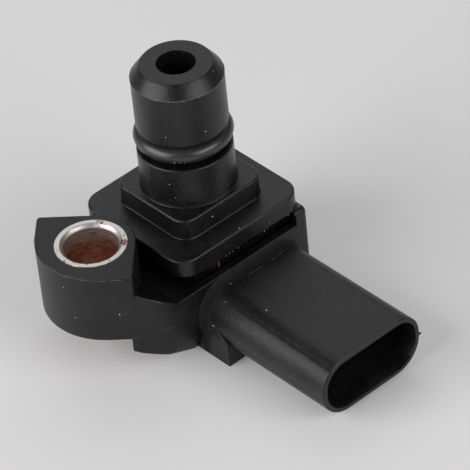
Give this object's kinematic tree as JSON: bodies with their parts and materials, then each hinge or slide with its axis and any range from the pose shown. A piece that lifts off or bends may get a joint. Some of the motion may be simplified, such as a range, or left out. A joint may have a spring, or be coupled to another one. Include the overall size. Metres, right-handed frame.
{
  "type": "manifold absolute pressure sensor",
  "caption": "Plug-in air pressure sensor with a sealed port, a bolt ear beside it and a sideways electrical socket.",
  "frame": {"origin": "on the port's axis, at the foot of the collar's straight wall, just above the cover's upper step", "axes": "+Z is the way the port points into the manifold, +X is the way the socket opens, and the bolt ear lies towards -Y"},
  "size_m": [0.043, 0.0344, 0.0363],
  "materials": {
    "housing_plastic": "black glass-filled polyester moulding, satin",
    "cover_plastic": "black glass-filled polyester moulding, satin",
    "seal_rubber": "smooth black moulded rubber, lightly greased",
    "sleeve_steel": "bright turned end, coppery brown stained bore",
    "tinned_copper": "tin plated strip",
    "dark_adhesive": "cured dark silicone adhesive",
    "white_alumina": "matt white alumina",
    "clear_glass": "clear borosilicate glass",
    "silicon": "polished silicon",
    "bond_wire_metal": "bright drawn wire",
    "capacitor_ceramic": "tan ceramic chip",
    "clear_gel": "clear soft silicone gel"
  },
  "bodies": {
    "root": {"board_adhesive": "dark_adhesive", "bond_wire_ground": "bond_wire_metal", "bond_wire_signal": "bond_wire_metal", "bond_wire_supply": "bond_wire_metal", "capacitor_ground": "capacitor_ceramic", "capacitor_signal": "capacitor_ceramic", "capacitor_supply": "capacitor_ceramic", "ceramic_board": "white_alumina", "chip_adhesive": "dark_adhesive", "chip_bond_wires": "bond_wire_metal", "compression_limiter": "sleeve_steel", "cover_adhesive": "dark_adhesive", "glass_pedestal": "clear_glass", "main_housing": "housing_plastic", "o_ring": "seal_rubber", "port_cover": "cover_plastic", "pressure_die": "silicon", "protective_gel": "clear_gel", "signal_chip": "silicon", "terminal_ground": "tinned_copper", "terminal_signal": "tinned_copper", "terminal_supply": "tinned_copper"}
  },
  "joints": []
}
